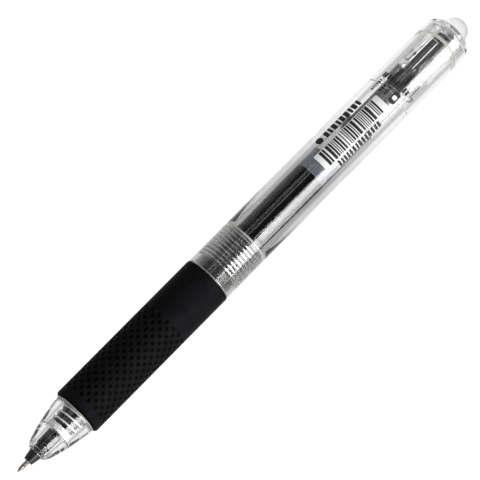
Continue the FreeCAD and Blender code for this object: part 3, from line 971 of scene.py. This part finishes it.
def make_clip(shoulder):
    """The clip: a root on the cap, a long blade and a bump near its tail."""
    half_width = 2.5
    root = -5.3
    root_at, root_end = 135.3, 141.0
    top = -7.5
    bump = -6.2
    outline = [(root_at, root), (root_end, root), (root_end - 0.25, -6.8), (shoulder, -8.0)]
    outline += [(138.4, CLIP_BOTTOM), (CLIP_TAIL + 1.3, CLIP_BOTTOM), (CLIP_TAIL, top)]
    outline += [(CLIP_TAIL + 1.7, bump), (CLIP_TAIL + 4.3, bump), (CLIP_TAIL + 5.4, top)]
    outline += [(root_at - 1.3, top)]

    def place(x, z, side):
        return x, side, z

    clip = plate("clip", outline, -half_width, half_width, place)
    bevel(clip, 0.35, 3)
    return clip


# ------------------------------------------------------------ moving pieces

def make_button():
    """The clear hollow plunger, with its dome, crown and guides."""
    outside = 3.15
    bore = 2.35
    bore_end = 142.4
    dome_at = 143.1
    corners = [(BUTTON_AT, bore, 0.05), (BUTTON_AT, outside, 0.08), (dome_at, outside)]
    corners += arc_points((dome_at, outside), (dome_at + outside * 0.99999, 0.01), outside, 18)
    corners += [(BUTTON_END, 0), (bore_end, 0), (bore_end, bore, 0.3)]
    button = turned("button_clear", corners)

    depth = 0.9
    half_notch = 1.1
    notch = [(BUTTON_AT - depth, -half_notch), (BUTTON_AT, -half_notch)]
    notch += [(BUTTON_AT + depth, half_notch), (BUTTON_AT - depth, half_notch)]
    for cutter in spoke_plates("notch", notch, 1.0, 4.0, GROOVE_TURN):
        combine(button, cutter, "DIFFERENCE")

    guide_at, guide_end, guide_slant = 129.6, 133.0, 0.9
    half_guide = 1.0
    guide = [(guide_at, -half_guide), (guide_end - guide_slant, -half_guide)]
    guide += [(guide_end, half_guide), (guide_at, half_guide)]
    for fin in spoke_plates("guide", guide, outside - 0.45, 3.9, GROOVE_TURN):
        bevel(fin, 0.08)
        combine(button, fin)
    finish_piece(button, FROSTED, "button", ["button"], 35)


def make_rotor():
    """The dark indexing piece, with slanted fins and a long stem."""
    radius = 3.1
    stem = 2.2
    shoulder = 127.2
    corners = [(ROTOR_AT, 0), (ROTOR_AT, radius, 0.4), (shoulder, radius, 0.15)]
    corners += [(shoulder, stem, 0.15), (STEM_END, stem, 0.5), (STEM_END, 0)]
    rotor = turned("rotor_moulded", corners)

    fin_at, fin_end, fin_slant = 124.4, 127.9, 0.9
    half = 0.8
    outline = [(fin_at, -half), (fin_end - fin_slant, -half), (fin_end, half), (fin_at, half)]
    for fin in spoke_plates("fin", outline, radius - 0.4, 3.9, GROOVE_TURN):
        bevel(fin, 0.1)
        combine(rotor, fin)
    finish_piece(rotor, DARK_GREY, "rotor", ["rotor"], 35)


def make_tube():
    """The clear tube of the refill."""
    corners = [(TUBE_AT, REFILL_BORE, 0.05), (TUBE_AT, REFILL_RADIUS, 0.1)]
    corners += [(TUBE_END, REFILL_RADIUS, 0.1), (TUBE_END, REFILL_BORE, 0.05)]
    tube = turned("refill_tube_clear", corners)
    finish_piece(tube, CLEAR_REFILL, "refill", ["refill_tube"])


def make_ink():
    """The ink and the grease behind it, which wet the wall of the tube."""
    feed = 0.85
    column_at = HOLDER_END + FIT
    wetted = REFILL_BORE + 0.01
    meniscus_at = INK_END - 0.9
    meniscus = arc_points((meniscus_at, wetted), (INK_END, 0.01), 7.0, 12)
    corners = [(INK_AT, 0), (INK_AT, feed, 0.1), (column_at, feed), (column_at, wetted, 0.1)]
    corners += [(meniscus_at, wetted)] + meniscus + [(INK_END, 0)]
    ink = turned("ink_column", corners)
    finish_piece(ink, INK, "refill", ["ink"], 60)

    hollow = 0.45
    corners = [(INK_END + FIT, 0)]
    corners += [(x + FIT, r) for x, r in reversed(meniscus)]
    corners += [(meniscus_at + FIT, wetted), (FOLLOWER_END, wetted, 0.1)]
    corners += [(FOLLOWER_END - hollow, 0)]
    follower = turned("grease_plug", corners)
    finish_piece(follower, GREASE, "refill", ["grease_follower"], 60)


def make_tail_adapter():
    """The grey pusher between the tube and the rotor: plug, collar and hollow shank."""
    plug = REFILL_BORE - FIT
    nose = 2.4
    shank = 3.15
    bore = 1.9
    bore_at = 111.0
    collar_at = TUBE_END + FIT
    collar_end = collar_at + 0.8
    corners = [(ADAPTER_AT, 0), (ADAPTER_AT, nose, 0.15), (ADAPTER_AT + 0.8, plug, 0.15)]
    corners += [(collar_at, plug), (collar_at, REFILL_RADIUS, 0.1)]
    corners += [(collar_end, REFILL_RADIUS, 0.1), (collar_end, shank, 0.1)]
    corners += [(ADAPTER_END, shank, 0.15), (ADAPTER_END, bore, 0.1)]
    corners += [(bore_at, bore, 0.1), (bore_at, 0)]
    adapter = turned("tail_adapter_moulded", corners)
    finish_piece(adapter, GREY, "refill", ["tail_adapter"])


def make_tip_holder():
    """The black holder: a cone in the nose, a neck, a waist and a body that plugs the tube."""
    plug = REFILL_BORE - FIT
    hole = 0.575
    feed = 0.9
    neck, neck_end = 1.6, 8.3
    waist, waist_end = 1.85, 14.0
    body, flange_at = 2.75, 30.0
    flange_end = TUBE_AT - FIT
    feed_at = NEEDLE_END + FIT
    corners = [(HOLDER_AT, hole, 0.02), (HOLDER_AT, 1.13, 0.1), (NOSE_AT, neck, 0.1)]
    corners += [(neck_end, neck, 0.05), (neck_end, waist, 0.08)]
    corners += [(waist_end, waist, 0.05), (waist_end, body, 0.3)]
    corners += [(flange_at, body, 0.1), (flange_at, REFILL_RADIUS, 0.1)]
    corners += [(flange_end, REFILL_RADIUS, 0.1), (flange_end, plug)]
    corners += [(HOLDER_END, plug, 0.2), (HOLDER_END, feed, 0.1)]
    corners += [(feed_at, feed, 0.05), (feed_at, hole)]
    holder = turned("tip_holder_moulded", corners)
    finish_piece(holder, BLACK, "refill", ["tip_holder"])


def make_tip():
    """The steel needle, bored for its spring and ink, and the ball in its seat."""
    rim = 0.285
    seat, seat_end = 0.26, 0.52
    channel = 0.15
    bore, bore_at = 0.36, 2.0
    needle_at, needle = 1.6, 0.55
    corners = [(TIP_AT, seat), (TIP_AT, rim, 0.01), (needle_at, needle, 0.4)]
    corners += [(NEEDLE_END, needle, 0.05), (NEEDLE_END, bore), (bore_at, bore)]
    corners += [(bore_at, channel), (seat_end, channel), (seat_end, seat)]
    body = turned("needle_turned", corners, 96)
    finish_piece(body, STEEL, "refill", ["tip_body"])

    radius = 0.25
    corners = [(0, 0)]
    corners += arc_points((0.00001, 0.0001), (2 * radius - 0.00001, 0.0001), radius * 1.0001, 32)
    corners += [(2 * radius, 0)]
    ball = turned("writing_ball_ground", corners, 64)
    finish_piece(ball, STEEL, "refill", ["writing_ball"], 60)


def make_springs():
    """The return spring in the nose, and the fine spring behind the ball."""
    thickness = 0.4
    points = coil(SPRING_AT, SPRING_END, 3.05, thickness, closed_turns=3.5, open_turns=9.25)
    spring = wire("return_spring_wound", points, thickness / 2)
    finish_piece(spring, SPRING_STEEL, None, ["return_spring"], 60)
    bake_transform(spring)

    low, high = extent("ball_spring")
    fine_thickness = 0.08
    points = coil(low, high, 0.22, fine_thickness, closed_turns=2, open_turns=10, steps=24)
    fine = wire("ball_spring_wound", points, fine_thickness / 2, 10)
    finish_piece(fine, SPRING_STEEL, "refill", ["ball_spring"], 60)


# -------------------------------------------------------------------- prints

# A first layer of print stands PRINT_LIFT off the barrel, and a second one OVER_PRINT.
PRINT_THICKNESS = 0.025
PRINT_LIFT = 0.005
OVER_PRINT = PRINT_LIFT + PRINT_THICKNESS + 0.002
MARK_CORNER = 0.12


def add_patch(mesh, x_low, x_high, angle_low, angle_high, lift=PRINT_LIFT, corner=0.0):
    """Add a thin printed patch to a bmesh; angles are degrees from the top towards -Y.

    corner is the radius of its four corners.
    """
    low_radius = BARREL_RADIUS + lift
    high_radius = low_radius + PRINT_THICKNESS
    reach = math.radians(angle_high - angle_low) * BARREL_RADIUS
    steps = max(2, round((angle_high - angle_low) / 1.5))
    stations = [reach * step / steps for step in range(steps + 1)]
    if corner:
        bend = [corner * (1 - math.cos(math.radians(turn))) for turn in range(0, 91, 15)]
        middle = [place for place in stations if corner < place < reach - corner]
        stations = bend + middle + [reach - place for place in reversed(bend)]
    columns = []
    for place in stations:
        near_side = min(place, reach - place)
        inset = 0.0
        if near_side < corner:
            inset = corner - math.sqrt(max(corner ** 2 - (corner - near_side) ** 2, 0))
        angle = math.radians(angle_low) + place / BARREL_RADIUS
        column = []
        for x, radius in (
            (x_low + inset, low_radius),
            (x_high - inset, low_radius),
            (x_high - inset, high_radius),
            (x_low + inset, high_radius),
        ):
            spot = (x * MM, -radius * MM * math.sin(angle), radius * MM * math.cos(angle))
            column.append(mesh.verts.new(spot))
        columns.append(column)
    for column, following in zip(columns, columns[1:]):
        for side in range(4):
            other = (side + 1) % 4
            mesh.faces.new((column[side], column[other], following[other], following[side]))
    mesh.faces.new(columns[0])
    mesh.faces.new(columns[-1])


def add_row(mesh, dice, x_low, x_high, angle_low, angle_high, width, gap):
    """Add a row of plain marks of uneven widths along the axis."""
    x = x_low
    while x < x_high - width * 0.5:
        mark = min(width * dice.uniform(0.7, 1.2), x_high - x)
        add_patch(mesh, x, x + mark, angle_low, angle_high, corner=MARK_CORNER)
        x += mark + gap


def make_panel(dice):
    """The printed white panel with its stripes."""
    panel_at, panel_end = 96.6, 117.4
    top_side, low_side = -24.2, 16.4
    margin = 1.4
    margin_turn = 1.6
    white = bmesh.new()
    add_patch(white, panel_at, panel_end, top_side, low_side, corner=0.25)
    panel = to_object("label_panel", white)
    finish_piece(panel, PRINT_WHITE, "barrel")

    black = bmesh.new()
    x = panel_at + margin
    last = panel_end - margin
    while x < last:
        bar = dice.choice((0.25, 0.25, 0.5, 0.5, 0.75))
        gap = dice.choice((0.25, 0.25, 0.5))
        bar_end = min(x + bar, last)
        add_patch(black, x, bar_end, top_side + margin_turn, low_side - margin_turn, OVER_PRINT)
        x += bar + gap
    stripes = to_object("label_stripes", black)
    finish_piece(stripes, PRINT_BLACK, "barrel")


def make_plain_marks(dice):
    """Rows of plain marks round the panel, in place of lettering."""
    marks = bmesh.new()
    add_row(marks, dice, 99.8, 113.9, 19.5, 33.5, 0.72, 0.36)
    add_patch(marks, 99.7, 101.6, -52.5, -34.5, corner=0.9)
    add_row(marks, dice, 102.4, 113.8, -52.0, -34.0, 0.95, 0.42)
    for start, end, top_side, low_side in (
        (117.9, 121.3, -45.5, -38.0),
        (118.7, 121.0, -28.0, -21.5),
        (118.8, 121.1, -15.5, -9.0),
    ):
        add_row(marks, dice, start, end, top_side, low_side, 0.42, 0.24)

    column_at, column_end = 122.1, 123.5
    angle = -49.0
    last_angle = 20.0
    while angle < last_angle:
        tall = dice.uniform(3.6, 6.5)
        add_patch(marks, column_at, column_end, angle, angle + tall, corner=MARK_CORNER)
        angle += tall + 2.6
    plain = to_object("plain_marks", marks)
    finish_piece(plain, PRINT_BLACK, "barrel")


def make_badge():
    """A black badge with a white dot."""
    square = bmesh.new()
    add_patch(square, 118.3, 121.4, 1.5, 18.8, corner=0.6)
    badge = to_object("badge_square", square)
    finish_piece(badge, PRINT_BLACK, "barrel")
    dot = bmesh.new()
    add_patch(dot, 119.3, 120.4, 5.0, 15.3, OVER_PRINT, 0.3)
    centre = to_object("badge_dot", dot)
    finish_piece(centre, PRINT_WHITE, "barrel")


make_camera()
make_studio()
make_floor()
make_front_barrel()
make_rear_barrel()
make_rubber_grip()
make_cam_sleeve()
make_end_cap()
make_button()
make_rotor()
make_tube()
make_ink()
make_tail_adapter()
make_tip_holder()
make_tip()
make_springs()
dice = random.Random(5)
make_panel(dice)
make_plain_marks(dice)
make_badge()

boxes = {"cad": cad_bounds, "visual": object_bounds()}
str({key: [list(corner) for corner in box] for key, box in boxes.items()}).replace("'", '"')
